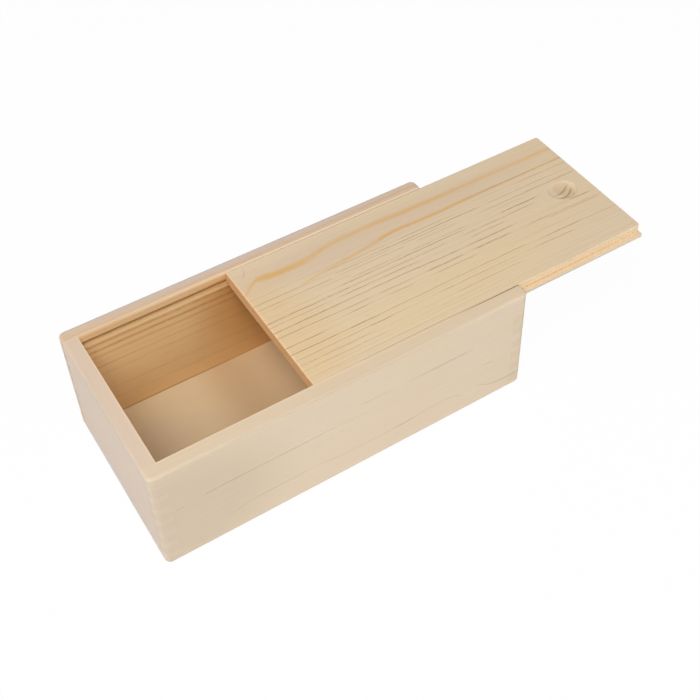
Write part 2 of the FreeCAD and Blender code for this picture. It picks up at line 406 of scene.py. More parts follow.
@dataclass
class Reading:
    """What the shader knows about a point of a board: output sockets, by name or by axis."""

    position: bpy.types.NodeSocket
    parts: dict
    along: bpy.types.NodeSocket
    depth: bpy.types.NodeSocket
    facing: dict
    ring_place: bpy.types.NodeSocket
    late_wood: bpy.types.NodeSocket
    fibre: bpy.types.NodeOutputs
    ends: bpy.types.NodeOutputs
    edge: bpy.types.NodeSocket


def place_in_mm(w):
    """The place of a point on the part, in millimetres."""
    place = w.vector("SCALE", w.node("ShaderNodeTexCoord").outputs["Object"])
    place.node.inputs["Scale"].default_value = 1 / MM
    return place


def read_board(w, board):
    """Read where a point is on its board, which way it faces and what the wood does there."""
    low, high = (tuple(Vector(corner) / MM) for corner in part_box(board.node))
    position = place_in_mm(w)
    parts = dict(zip("XYZ", w.split(position)))
    along, across, depth = (
        w.math("MULTIPLY_ADD", parts[axis], sign, offset)
        for axis, sign, offset in (board.along, board.across, board.depth)
    )
    place = w.join(along, across, depth)
    facing = dict(zip("XYZ", w.split(w.node("ShaderNodeTexCoord").outputs["Normal"])))
    ring_place = w.group(
        RING_PLACE, place=place, pith_across=board.pith_across, pith_depth=board.pith_depth,
        wander=board.wander, seed=board.seed,
    )["Ring Place"]
    late_wood = w.group(
        GROWTH_RINGS, ring_place=ring_place, place=place, spacing=board.ring_spacing,
        unevenness=RING_UNEVENNESS, seed=board.seed,
    )["Late Wood"]
    fibre = w.group(WOOD_FIBRE, place=place, seed=board.seed)
    ends = w.group(END_GRAIN, place=place, facing=facing[board.along[0]])
    edge = w.group(BOARD_EDGE, position=position, low=low, high=high, width=ARRIS_STRIP_WIDTH)["Edge"]
    return Reading(position, parts, along, depth, facing, ring_place, late_wood, fibre, ends, edge)


def from_corner(w, board, here):
    """How far a point is from the nearer end of its board."""
    axis = board.along[0]
    return w.math("SUBTRACT", HALF_SPAN[axis], w.math("ABSOLUTE", here.parts[axis]))


def surfacing(board, across):
    """Where a ring that shows at figured_depth would come up to the board's outer face."""
    from_pith = across - board.pith_across
    height = board.pith_depth - board.figured_depth
    reach = math.sqrt(from_pith ** 2 + height ** 2 - board.pith_depth ** 2)
    return board.pith_across + math.copysign(reach, from_pith)


def mark(w, along, ring_place, path, half_width, strength):
    """The mask of one grain line or resin streak."""
    full_within = 0.25 * half_width
    first, last = path[0][0], path[-1][0]
    run = w.remap(along, first, last)
    if len(path) == 2:
        centre = w.remap(run, 0.0, 1.0, path[0][1], path[1][1])
    else:
        lowest = min(across for _, across in path)
        span = max(across for _, across in path) - lowest
        points = [((at - first) / (last - first), (across - lowest) / span) for at, across in path]
        centre = w.math("MULTIPLY_ADD", w.curve(run, points), span, lowest)
    off = w.math("ABSOLUTE", w.math("SUBTRACT", ring_place, centre))
    across_it = w.remap(off, full_within, half_width, 1.0, 0.0, smooth=True)
    beyond = w.math("ABSOLUTE", w.math("SUBTRACT", along, (first + last) / 2))
    across_it = w.product(across_it, w.math("LESS_THAN", beyond, (last - first) / 2))
    shares = [((at - first) / (last - first), share) for at, share in strength]
    return w.math("MULTIPLY", across_it, w.curve(run, shares), clamp=True)


def strongest(w, masks):
    """The greatest of several masks."""
    mask = masks[0]
    for other in masks[1:]:
        mask = w.math("MAXIMUM", mask, other)
    return mask


def soft_patch(w, position, centre, radii):
    """An oval patch, full in its middle third, that fades out towards its edge."""
    full_within = 0.35
    away = w.vector("DIVIDE", w.vector("SUBTRACT", position, centre), radii)
    return w.remap(w.vector("LENGTH", away), full_within, 1.0, 1.0, 0.0, smooth=True)


def scoop_arcs(w, board, here):
    """Growth rings that the thumb scoop cuts through: dark arcs on its side by the lid's end."""
    seen_from_above = w.join(here.parts["X"], here.parts["Y"], 0.0)
    half_width, fade = 1.0, 2.0
    arcs = []
    for middle_x, middle_y, radius, ends_at_y, strength in board.scoop_rings:
        away = w.vector("DISTANCE", seen_from_above, (middle_x, middle_y, 0.0))
        in_front = w.remap(here.parts["Y"], ends_at_y, ends_at_y - fade, smooth=True)
        arcs.append(w.product(w.near(away, radius, half_width), in_front, strength))
    cut_in = w.remap(here.parts["Z"], BOX_HEIGHT - 0.02, BOX_HEIGHT - 0.25)
    towards_end = w.remap(here.parts["X"], *ARCS_FADE_IN, smooth=True)
    return w.product(strongest(w, arcs), cut_in, towards_end)


def plain_tones(w, board, here):
    """A slow change of tone over the board, with the painted light and shade of its sides and the painted
    shade of the lid.
    """
    colour = w.mix(w.remap(here.fibre["Cloud"], 0.3, 0.7), board.pale, board.warm)
    # Each side's tone is painted light and shade: lit and shaded sides of the same wood get tones of
    # their own.
    for axis, sign, tone in board.side_light_and_shade:
        turned_there = w.remap(w.math("MULTIPLY", here.facing[axis], sign), 0.6, 0.9, smooth=True)
        if axis == "Z":
            turned_there = w.product(turned_there, w.math("GREATER_THAN", here.parts["Z"], RIM_FROM))
        colour = w.mix(turned_there, colour, tone)
    # The inner face turns redder towards the lid: painted shade of the lid, reddened by light bounced off
    # the wood.
    if board.painted_lid_shade:
        shade_starts, shade_full_from, tone = board.painted_lid_shade
        redder = w.remap(here.along, shade_starts, shade_full_from, smooth=True)
        redder = w.product(redder, w.math("GREATER_THAN", here.depth, INNER_FACE))
        colour = w.mix(redder, colour, tone)
    return colour


def sanded_and_highlit_edges(w, board, here, colour):
    """The tone of the arrises: paler sanded wood with a painted highlight. Inside the box it stops short
    of the corner joints.
    """
    inside = board.edge_inside
    if board.jointed:
        clear_of_joint = w.math("GREATER_THAN", from_corner(w, board, here), WALL_THICKNESS)
        inside = w.product(clear_of_joint, inside)
    share = w.remap(here.depth, *ARRIS_CHANGES, board.edge_outside, inside)
    # Paler sanded wood and a painted highlight along the arrises.
    return w.mix(w.math("MULTIPLY", here.edge, share), colour, board.edge_colour)


def add_tone_and_light_patches(w, board, here, colour):
    """The soft ovals of other tones, most of them painted light and shade, and the painted shade and
    light in the lid's groove.
    """
    for centre, radii, tone, strength in board.tone_and_light_patches:
        patch = soft_patch(w, here.position, centre, radii)
        colour = w.mix(w.math("MULTIPLY", patch, strength), colour, tone)
    # Painted shade low in the lid's groove, rising to painted light at its top.
    if board.groove_shade_and_light:
        in_height = w.between(here.parts["Z"], GROOVE_FROM, GROOVE_TO)
        in_depth = w.between(here.depth, WALL_THICKNESS / 2, INNER_FACE)
        upwards = w.remap(here.parts["Z"], GROOVE_FROM + 0.8, GROOVE_TO)
        groove_shading = w.mix(upwards, *board.groove_shade_and_light)
        colour = w.mix(w.product(in_height, in_depth), colour, groove_shading)
    return colour


def grain_lines(w, board, here):
    """How dark the drawn grain lines are at a point, and the rings that the scoop cuts."""
    if not board.lines:
        return 0.0
    marks = []
    for path, half_width, strength in board.lines:
        at_surface = [(at, surfacing(board, across)) for at, across in path]
        marks.append(mark(w, here.along, here.ring_place, at_surface, half_width, strength))
    lines = w.product(strongest(w, marks), here.fibre["Breaks"], board.line_strength)
    if board.scoop_rings:
        arcs = w.math("MULTIPLY", scoop_arcs(w, board, here), ARC_STRENGTH)
        lines = w.math("MAXIMUM", lines, arcs)
    return lines


def figured(w, board, here, lines, colour):
    """Growth rings, then resin streaks with rough sides, then grain lines."""
    ring_share = w.remap(here.ends["End"], 0.0, 1.0, board.ring_strength, END_RING_STRENGTH)
    colour = w.mix(w.math("MULTIPLY", here.late_wood, ring_share), colour, board.late)
    for path, half_width, strength in board.streaks:
        roughness = w.math("SUBTRACT", here.fibre["Fibre"], 0.5)
        rough_place = w.math("MULTIPLY_ADD", roughness, half_width, here.ring_place)
        streak = mark(w, here.along, rough_place, path, half_width, strength)
        colour = w.mix(streak, colour, AMBER)
    if board.lines:
        colour = w.mix(lines, colour, board.line_colour)
    return colour


def fibres_and_ends(w, board, here, colour):
    """Fibres lighten and darken the wood a little, flecks darken it, and end grain is pitted."""
    darkest_fibre, lightest_fibre = 0.97, 1.025
    fleck_strength, pit_strength, end_strength = 0.12, 0.16, 0.7
    fibre_tone = w.remap(here.fibre["Fibre"], 0.3, 0.7, darkest_fibre, lightest_fibre)
    colour = w.mix(1.0, colour, w.join(fibre_tone, fibre_tone, fibre_tone), "MULTIPLY")
    colour = w.mix(w.math("MULTIPLY", here.fibre["Fleck"], fleck_strength), colour, board.late)
    pitting = w.remap(here.ends["Pits"], 0.3, 0.7, 0.0, pit_strength)
    pitted = w.mix(pitting, board.end, board.late)
    return w.mix(w.math("MULTIPLY", here.ends["End"], end_strength), colour, pitted)


def glued_joints(w, board, here, colour):
    """The lines of glue round the fingers, wider towards the very corner where they are worn."""
    inwards = from_corner(w, board, here)
    glue = w.group(
        GLUE_LINE, height=here.parts["Z"], from_corner=inwards, depth=here.depth,
        end=here.ends["End"], pitch=FINGER_PITCH, thickness=WALL_THICKNESS, rim=JOINT_TOP,
        width=w.remap(inwards, 0.5, 3.0, board.worn_glue, GLUE_HAIRLINE),
    )["Glue"]
    half = HALF_SPAN[board.along[0]]
    share = w.remap(here.along, -half, half, *board.glue)
    return w.mix(w.math("MULTIPLY", glue, share), colour, GLUE_GREY)


def relief(w, board, here, lines):
    """The height of the surface in millimetres, from its fibres, rings, pits, lines and edges."""
    texture_height = 0.02
    ring_weight, pit_weight, line_weight = 0.5, 1.5, 1.2
    texture = w.math("MULTIPLY_ADD", here.late_wood, ring_weight, here.fibre["Fibre"])
    pits = w.math("MULTIPLY", here.ends["Pits"], here.ends["End"])
    texture = w.math("MULTIPLY_ADD", pits, pit_weight, texture)
    texture = w.math("SUBTRACT", texture, w.math("MULTIPLY", lines, line_weight))
    rolled = w.remap(here.depth, *ARRIS_CHANGES, 0.0, board.inner_roll)
    rolled = w.product(w.math("POWER", here.edge, 2.0), rolled)
    return w.math("SUBTRACT", w.math("MULTIPLY", texture, texture_height), rolled)


def bare_wood(name):
    """A new material with the low gloss of bare wood, its wiring and its shader."""
    material = bpy.data.materials.new(name)
    material.use_nodes = True
    shader = material.node_tree.nodes["Principled BSDF"]
    shader.inputs["Specular IOR Level"].default_value = 0.35
    return material, Wiring(material.node_tree), shader


def shade_relief(w, shader, height, strength, distance):
    """Shade a surface as if it rose and sank by this height."""
    bump = w.node("ShaderNodeBump")
    bump.inputs["Strength"].default_value = strength
    bump.inputs["Distance"].default_value = distance
    w.feed(bump.inputs["Height"], height)
    w.feed(shader.inputs["Normal"], bump.outputs[0])


def pine(board):
    """The finish of one pine board: sanded, unfinished, with its own figure."""
    material, w, shader = bare_wood("pine_" + board.node)
    here = read_board(w, board)
    lines = grain_lines(w, board, here)

    colour = plain_tones(w, board, here)
    colour = sanded_and_highlit_edges(w, board, here, colour)
    colour = add_tone_and_light_patches(w, board, here, colour)
    colour = figured(w, board, here, lines, colour)
    colour = fibres_and_ends(w, board, here, colour)
    if board.jointed:
        colour = glued_joints(w, board, here, colour)
    w.feed(shader.inputs["Base Color"], colour)

    w.feed(shader.inputs["Roughness"], w.remap(here.late_wood, 0.0, 1.0, 0.66, 0.54))
    shade_relief(w, shader, relief(w, board, here, lines), strength=1.0, distance=MM)
    return material


# The lid: plain-sawn, with amber streaks along it and close broken lines over the rest.
LID = Board(
    "sliding_lid", ("X", 1.0, 0.0), ("Y", 1.0, 0.0), ("Z", -1.0, BOX_HEIGHT),
    pale=srgb(220, 199, 169), warm=srgb(222, 199, 165), late=srgb(176, 140, 96),
    end=srgb(236, 188, 134),
    pith_across=39.0, pith_depth=30.0, wander=0.0, seed=3.7,
    ring_spacing=1.7, ring_strength=0.37, line_colour=srgb(162, 129, 84),
    # The tones of the lid's sides and end are painted light and shade.
    side_light_and_shade=[
        ("Y", -1.0, srgb(241, 217, 180)),
        ("Y", 1.0, srgb(250, 236, 214)),
        ("X", -1.0, srgb(240, 192, 138)),
    ],
    tone_and_light_patches=[
        ((50, 27, 65), (140, 14, 12), srgb(211, 186, 160), 0.6),
        ((60, -26, 65), (110, 22, 12), srgb(224, 199, 158), 0.5),
        ((-15.3, -10, 65), (36, 60, 3), srgb(222, 190, 142), 0.5),
        # Painted shade and painted light in the thumb scoop: darker on its right, lighter towards its
        # front left, against its own shading.
        ((162.5, 3, 63.5), (8, 8, 2.5), srgb(203, 180, 146), 0.85),
        ((155, -3, 63.5), (6, 6, 2), srgb(234, 212, 180), 0.8),
        # Painted shade on the lid's front arris near its right end, which dims its highlight.
        ((135, -42.25, 65), (48, 0.9, 0.9), srgb(216, 188, 152), 0.8),
        # Painted shade along the lid's back arris: it dims the arris's highlight and greys the gap by the
        # back wall.
        ((80, 42.25, 65), (140, 0.9, 0.9), srgb(196, 172, 146), 0.8),
        # Painted highlight along the top arris of the lid's left end.
        ((-15.3, 0, 65), (1.8, 60, 1.2), srgb(244, 202, 158), 0.6),
        # Painted shadow along the lid's front arris, in the gap by the front wall.
        ((38, -42.25, 65), (64, 0.9, 0.9), srgb(186, 162, 130), 0.6),
        # Painted shade in the inner corner between the lid's front face and its tongue.
        ((80, -42.4, 60.3), (140, 0.9, 0.8), srgb(216, 176, 122), 0.6),
        ((80, -44.7, 58.9), (140, 0.8, 1.4), srgb(214, 204, 188), 0.9),
    ],
    edge_outside=0.15, edge_inside=0.1, jointed=False,
    scoop_rings=[
        (155.7, 14.1, 15.0, 3.5, 0.9),
        (157.4, 6.3, 10.8, 0.6, 1.0),
        (147.8, 5.4, 19.3, 1.0, 0.25),
    ],
    line_strength=1.12,
    streaks=[
        ([(-15.3, 22.2), (-12, 25), (-8, 27.9), (-3, 29.6), (3, 29.2)],
         1.5, [(-15.3, 0.3), (-11, 0.5), (-5, 0.75), (0, 0.6), (3, 0.0)]),
        ([(-6, 29.6), (0, 29.0), (8, 28.2), (18, 28.0), (28, 29.6), (40, 31.6), (62, 32.2), (80, 31.4),
          (176.8, 31.0)],
         3.2, [(-6, 0.0), (-2, 0.75), (4, 0.9), (10, 0.85), (18, 0.7), (26, 0.35), (60, 0.18), (72, 0.3),
               (105, 0.28), (120, 0.2), (160, 0.22), (176.8, 0.2)]),
        ([(14, 28.0), (28, 29.6), (40, 31.6), (62, 32.2), (80, 31.4), (176.8, 31.0)],
         1.5, [(14, 0.0), (22, 0.3), (34, 0.5), (60, 0.5), (72, 0.6), (105, 0.55), (120, 0.4),
               (176.8, 0.35)]),
        ([(10, 14.0), (18, 15.6), (32, 17.2), (48, 19), (60, 20.6), (72, 22), (90, 21.5), (110, 21.8),
          (176.8, 21.8)],
         1.5, [(10, 0.0), (16, 0.35), (40, 0.5), (56, 0.6), (66, 0.9), (80, 0.9), (115, 0.75), (125, 0.4),
               (176.8, 0.3)]),
    ],
    lines=[
        ([(-16, 14.2), (178, 12.8)], 0.42,
         [(-16, 0.5), (8, 0.5), (14, 0.25), (50, 0.3), (56, 0.65), (112, 0.6), (120, 0.1), (126, 0.35),
          (160, 0.3), (178, 0.0)]),
        ([(-16, 10.6), (178, 8.8)], 0.38,
         [(-16, 0.5), (24, 0.5), (28, 0.1), (34, 0.4), (66, 0.35), (72, 0.05), (80, 0.35), (97, 0.3),
          (104, 0.05), (122, 0.4), (164, 0.35), (170, 0.0), (178, 0.0)]),
        ([(-16, 8.0), (178, 6.6)], 0.36,
         [(-16, 0.2), (-4, 0.3), (4, 0.05), (30, 0.3), (40, 0.1), (118, 0.05), (130, 0.25), (150, 0.0),
          (178, 0.0)]),
        ([(-16, 3.9), (178, 3.1)], 0.42,
         [(-16, 0.1), (10, 0.2), (26, 0.4), (31, 0.7), (80, 0.65), (97, 0.45), (104, 0.1), (122, 0.2),
          (127, 0.9), (140, 0.9), (146, 0.45), (152, 0.0), (178, 0.0)]),
        ([(-16, 0.7), (178, 0.0)], 0.42,
         [(-16, 0.7), (30, 0.7), (36, 0.45), (82, 0.45), (92, 0.1), (103, 0.55), (138, 0.5), (146, 0.0),
          (178, 0.0)]),
        ([(-16, -2.2), (178, -3.4)], 0.38,
         [(-16, 0.4), (12, 0.4), (20, 0.1), (27, 0.65), (63, 0.6), (72, 0.1), (98, 0.1), (103, 0.55),
          (118, 0.5), (124, 0.0), (178, 0.0)]),
        ([(-16, -6.0), (62, -6.3), (84, -7.2), (120, -7.3), (178, -8.4)], 0.42,
         [(-16, 0.8), (18, 0.8), (23, 0.5), (60, 0.5), (65, 0.75), (86, 0.7), (92, 0.3), (98, 0.75),
          (120, 0.7), (128, 0.15), (158, 0.2), (162, 0.75), (169, 0.7), (174, 0.1), (178, 0.1)]),
        ([(-16, -9.7), (50, -11), (110, -11.2), (178, -12.4)], 0.42,
         [(-16, 0.55), (32, 0.5), (38, 0.15), (44, 0.5), (57, 0.45), (64, 0.15), (71, 0.75), (86, 0.75),
          (92, 0.15), (99, 0.75), (115, 0.7), (122, 0.1), (134, 0.5), (153, 0.5), (160, 0.3), (168, 0.3),
          (178, 0.1)]),
        ([(-16, -13.6), (178, -15.4)], 0.38,
         [(-16, 0.05), (20, 0.1), (25, 0.5), (32, 0.45), (38, 0.05), (50, 0.4), (56, 0.4), (62, 0.05),
          (76, 0.5), (91, 0.5), (98, 0.05), (178, 0.05)]),
        ([(-16, -17.2), (178, -18.6)], 0.38,
         [(-16, 0.75), (2, 0.7), (8, 0.1), (90, 0.05), (140, 0.2), (160, 0.1), (178, 0.0)]),
        ([(-16, -22.1), (30, -22.4), (80, -22.1), (136, -23), (178, -24)], 0.42,
         [(-16, 0.7), (7, 0.65), (14, 0.3), (19, 0.85), (27, 0.85), (32, 0.45), (82, 0.4), (92, 0.5),
          (115, 0.5), (122, 0.2), (130, 0.4), (137, 0.8), (151, 0.75), (157, 0.3), (172, 0.3),
          (178, 0.2)]),
        ([(-16, -26.4), (80, -26.1), (178, -28.2)], 0.38,
         [(-16, 0.1), (-6, 0.4), (17, 0.4), (24, 0.3), (27, 0.7), (34, 0.65), (40, 0.3), (60, 0.1),
          (72, 0.45), (80, 0.4), (106, 0.3), (114, 0.1), (124, 0.35), (132, 0.55), (143, 0.5), (150, 0.1),
          (178, 0.1)]),
        ([(-16, -29.8), (178, -31.0)], 0.38,
         [(-16, 0.1), (-8, 0.5), (20, 0.5), (28, 0.1), (70, 0.1), (79, 0.5), (90, 0.45), (108, 0.3),
          (116, 0.0), (178, 0.0)]),
        ([(-16, -33.2), (178, -34.5)], 0.38,
         [(-16, 0.3), (24, 0.3), (34, 0.05), (80, 0.2), (88, 0.0), (178, 0.0)]),
        ([(-16, -38.2), (178, -39.0)], 0.42,
         [(-16, 0.05), (0, 0.25), (40, 0.25), (70, 0.1), (178, 0.1)]),
        ([(100, 22.0), (178, 21.6)], 0.42,
         [(100, 0.0), (118, 0.25), (126, 0.6), (172, 0.55), (178, 0.4)]),
        ([(140, 17.6), (178, 17.2)], 0.38,
         [(140, 0.0), (148, 0.35), (160, 0.5), (178, 0.45)]),
        ([(26, 16.3), (102, 15.5)], 0.4,
         [(26, 0.0), (34, 0.4), (58, 0.35), (64, 0.15), (72, 0.5), (92, 0.45), (102, 0.0)]),
        ([(28, 12.3), (98, 11.5)], 0.4,
         [(28, 0.0), (36, 0.45), (58, 0.3), (64, 0.1), (72, 0.5), (90, 0.4), (98, 0.0)]),
        ([(32, 5.6), (106, 5.2)], 0.38,
         [(32, 0.0), (40, 0.4), (58, 0.35), (66, 0.1), (74, 0.45), (96, 0.4), (106, 0.0)]),
        ([(142, 9.4), (176, 9.0)], 0.5, [(142, 0.0), (148, 0.45), (172, 0.4), (176, 0.0)]),
        ([(140, -12.8), (176, -13.6)], 0.5, [(140, 0.0), (148, 0.4), (170, 0.4), (176, 0.0)]),
        ([(-10.6, 34.1), (-8.4, 36.2), (-7.2, 39.3), (-6.8, 41.5)], 0.9,
         [(-10.6, 0.0), (-9.4, 0.3), (-7.4, 0.35), (-6.8, 0.25)]),
    ],
)

# The front wall: pale and nearly plain, with a few fine broken lines.
FRONT = Board(
    "front_wall", ("X", 1.0, 0.0), ("Z", 1.0, 0.0), ("Y", 1.0, 50.0),
    pale=srgb(226, 208, 184), warm=srgb(225, 205, 178), late=srgb(196, 168, 130),
    end=srgb(228, 209, 190),
    pith_across=80.0, pith_depth=-60.0, wander=0.8, seed=8.2,
    ring_spacing=5.5, ring_strength=0.06,
    # The darker top and the warmer inner face are painted light and shade.
    side_light_and_shade=[("Z", 1.0, srgb(218, 196, 168)), ("Y", 1.0, srgb(236, 204, 160))],
    tone_and_light_patches=[
        # Painted shadow of the gap between the lid and the front wall, along its inner top arris.
        ((96, -42.5, 65), (44, 1.0, 1.0), LINE_BROWN, 0.9),
        # Painted shade: the front face darker towards its left end.
        ((-90, -50, 30), (70, 6, 55), srgb(211, 193, 168), 0.85),
        # Painted shade along the top outer arris, which dims its highlight.
        ((0, -50, 65), (150, 2.0, 2.0), srgb(204, 182, 154), 0.75),
    ],
    glue=(0.04, 0.08), line_strength=0.62,
    lines=[
        ([(-76, 38.2), (-20, 38.4), (10, 37.8)], 0.38,
         [(-76, 0.9), (-70, 0.7), (-62, 0.8), (-20, 0.75), (-12, 0.3), (-2, 0.25), (4, 0.1), (7, 0.4),
          (10, 0.0)]),
        ([(4, 45), (70, 44.2)], 0.55,
         [(4, 0.0), (8, 0.3), (17, 0.3), (24, 0.0), (34, 0.3), (42, 0.7), (58, 0.7), (66, 0.3),
          (70, 0.0)]),
        ([(-66, 14.8), (-40, 17.2), (-20, 17.0), (0, 14.8), (30, 15.2), (48, 16.8), (64, 12)], 0.45,
         [(-66, 0.3), (-54, 0.35), (-44, 0.5), (-28, 0.45), (-22, 0.15), (-16, 0.5), (-2, 0.4),
          (4, 0.35), (22, 0.5), (28, 0.9), (34, 0.7), (40, 0.3), (48, 0.45), (60, 0.4), (64, 0.1)]),
        ([(72, 15.5), (82, 10.5), (90, 9.5), (101, 10.5)], 0.5,
         [(72, 0.3), (80, 0.6), (90, 0.7), (96, 0.9), (101, 0.8)]),
        ([(74, 28.6), (82, 27.6)], 0.45, [(74, 0.0), (77, 0.4), (80, 0.4), (82, 0.0)]),
        ([(-91, 37.2), (-86, 36.6)], 0.5, [(-91, 0.0), (-89, 0.35), (-88, 0.35), (-86, 0.0)]),
    ],
)

# The back wall: warm inside by painted light and shade, with broad brown lines that also show outside.
BACK = Board(
    "back_wall", ("X", 1.0, 0.0), ("Z", 1.0, 0.0), ("Y", -1.0, 50.0),
    pale=srgb(222, 201, 172), warm=srgb(220, 196, 164), late=srgb(176, 134, 86),
    end=srgb(224, 205, 182),
    pith_across=-30.0, pith_depth=52.5, wander=1.2, seed=5.1,
    ring_spacing=2.1, ring_strength=0.16,
    # The darker top and the warmer inner face are painted light and shade.
    side_light_and_shade=[("Z", 1.0, srgb(214, 187, 158)), ("Y", -1.0, srgb(238, 199, 147))],
    tone_and_light_patches=[
        # Painted shade: the inner face darker and more orange towards the floor.
        ((-55, 42.5, 0), (80, 6, 40), srgb(220, 180, 124), 0.7),
        # Painted light in the inner corner by the closed end, against its shade.
        ((-96, 42.5, 10), (30, 6, 50), srgb(238, 200, 146), 0.6),
        # Painted shade in the crease where the inner face meets the floor.
        ((-55, 42.5, 2.5), (70, 1.5, 1.6), srgb(160, 114, 66), 0.5),
        # Painted highlight on the lip above the lid's groove.
        ((0, 42.5, 63.4), (150, 1.5, 2.6), srgb(247, 213, 166), 0.75),
        # Painted highlight along the arris under the lid's groove.
        ((0, 42.5, 56.7), (150, 1.5, 1.5), srgb(255, 222, 168), 0.7),
        # Painted light along the inner top arris, in the shaded gap by the lid.
        ((60, 42.5, 64.9), (130, 1.0, 0.9), srgb(232, 213, 188), 0.9),
        ((0, 50, 65), (150, 5.5, 2.0), srgb(205, 188, 177), 0.85),
    ],
    # The arris tone here is a painted highlight on paler sanded wood.
    glue=(0.7, 0.2), worn_glue=0.6, edge_colour=srgb(226, 190, 152),
    # The groove's tones are painted shade at its foot and painted light at its top.
    # The inner face's redder tone towards the lid is painted shade of the lid.
    groove_shade_and_light=(srgb(205, 164, 113), srgb(246, 208, 146)), painted_lid_shade=(-44, -14, srgb(222, 168, 104)),
    figured_depth=WALL_THICKNESS, line_strength=0.9, line_colour=srgb(180, 122, 58), inner_roll=0.3,
    lines=[
        ([(-101, 65.7), (101, 66.6)], 0.6,
         [(-101, 0.1), (-70, 0.15), (0, 0.18), (101, 0.15)]),
        ([(-101, 62.7), (101, 62.3)], 0.6,
         [(-101, 0.3), (-50, 0.25), (101, 0.3)]),
        ([(-101, 54.6), (101, 54.2)], 1.5,
         [(-101, 0.5), (-70, 0.5), (-50, 0.55), (101, 0.6)]),
        ([(-101, 50.6), (101, 50.0)], 1.3,
         [(-101, 0.6), (-70, 0.6), (-50, 0.65), (101, 0.6)]),
        ([(-101, 46.4), (101, 45.6)], 1.3,
         [(-101, 0.2), (-85, 0.27), (-50, 0.34), (101, 0.36)]),
        ([(-101, 42.6), (101, 42.0)], 0.9, [(-101, 0.1), (-50, 0.1), (101, 0.15)]),
        ([(-101, 39.4), (101, 38.8)], 1.0, [(-101, 0.2), (-74, 0.3), (-58, 0.2), (101, 0.2)]),
        ([(-101, 33.8), (101, 33.2)], 1.2, [(-101, 0.15), (-40, 0.2), (20, 0.2), (101, 0.1)]),
        ([(-90, 21.5), (20, 20.0)], 1.0, [(-90, 0.1), (-60, 0.25), (-30, 0.15), (20, 0.2)]),
        ([(-90, 13.5), (20, 12.0)], 1.0, [(-90, 0.2), (-60, 0.1), (-30, 0.25), (20, 0.1)]),
    ],
)

# The closed end wall: plain, with joint lines that are dark only at its back corner.
CLOSED_END = Board(
    "closed_end_wall", ("Y", 1.0, 0.0), ("Z", 1.0, 0.0), ("X", 1.0, 100.0),
    pale=srgb(230, 211, 193), warm=srgb(228, 208, 188), late=srgb(196, 168, 138),
    end=srgb(212, 194, 170),
    pith_across=90.0, pith_depth=-50.0, wander=4.0, seed=2.4,
    ring_spacing=6.0, ring_strength=0.05,
    # The darker top and the warmer inner face are painted light and shade.
    side_light_and_shade=[("Z", 1.0, srgb(216, 193, 170)), ("X", 1.0, srgb(236, 204, 160))],
    tone_and_light_patches=[
        # Painted shade along the top outer arris, which dims its highlight.
        ((-100, 0, 65), (2.0, 70, 2.0), srgb(206, 186, 166), 0.65),
        ((-100, 0, 0), (6, 80, 24), srgb(214, 204, 194), 0.5),
    ],
    glue=(0.04, 0.7), worn_glue=0.6,
)

# The open end wall: the lower one, which the lid passes over.
OPEN_END = Board(
    "open_end_wall", ("Y", 1.0, 0.0), ("Z", 1.0, 0.0), ("X", -1.0, 100.0),
    pale=srgb(226, 207, 183), warm=srgb(223, 202, 174), late=srgb(190, 156, 114),
    end=srgb(223, 203, 178),
    pith_across=20.0, pith_depth=35.0, wander=4.0, seed=9.6,
    ring_spacing=4.2, ring_strength=0.16,
    # The warmer inner face is painted light and shade.
    side_light_and_shade=[("X", -1.0, srgb(236, 204, 160))],
)


# Painted light and shade on the bottom's upper face: between which places along the box it changes tone,
# and to which tone.
FLOOR_LIGHT_AND_SHADE = [
    (-76.0, -92.0, srgb(230, 208, 168)),
    (-48.0, -24.0, srgb(197, 167, 128)),
    (-22.0, 2.0, srgb(226, 195, 153)),
]


def plywood():
    """The bottom's face veneer: rotary cut, so its figure is broad, pale and faint."""
    material, w, shader = bare_wood("plywood_bottom")
    place = place_in_mm(w)
    broad = w.noise(place, (0.012, 0.03, 0.03))
    veins = w.noise(place, (0.05, 1.3, 1.3))
    colour = w.mix(w.remap(broad, 0.35, 0.65), srgb(215, 191, 149), srgb(208, 186, 154))
    along, _, height = w.split(place)
    on_upper_face = w.math("GREATER_THAN", height, PANEL_THICKNESS / 2)
    # Painted light and shade: lighter by the closed end, darker towards the lid, lighter again under the
    # lid's end.
    for starts, ends, tone in FLOOR_LIGHT_AND_SHADE:
        changed = w.product(w.remap(along, starts, ends, smooth=True), on_upper_face)
        colour = w.mix(changed, colour, tone)
    colour = w.mix(w.remap(veins, 0.5, 0.75, 0.0, 0.05), colour, srgb(176, 142, 98))
    w.feed(shader.inputs["Base Color"], colour)
    shader.inputs["Roughness"].default_value = 0.6
    shade_relief(w, shader, veins, strength=0.25, distance=0.03 * MM)
    return material


def finish_node(node, material):
    """Give every slot of a CAD node its finish."""
    mesh_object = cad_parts[node]
    for slot in mesh_object.material_slots:
        slot.material = material


for board in (LID, FRONT, BACK, CLOSED_END, OPEN_END):
    finish_node(board.node, pine(board))
finish_node("bottom_panel", plywood())


# ---------------------------------------------------------------- studio

def direction(azimuth, elevation):
    """The way from the box to something round it: azimuth 0 is in front, elevation is up."""
    flat = math.cos(elevation)
    return Vector((math.sin(azimuth) * flat, -math.cos(azimuth) * flat, math.sin(elevation)))


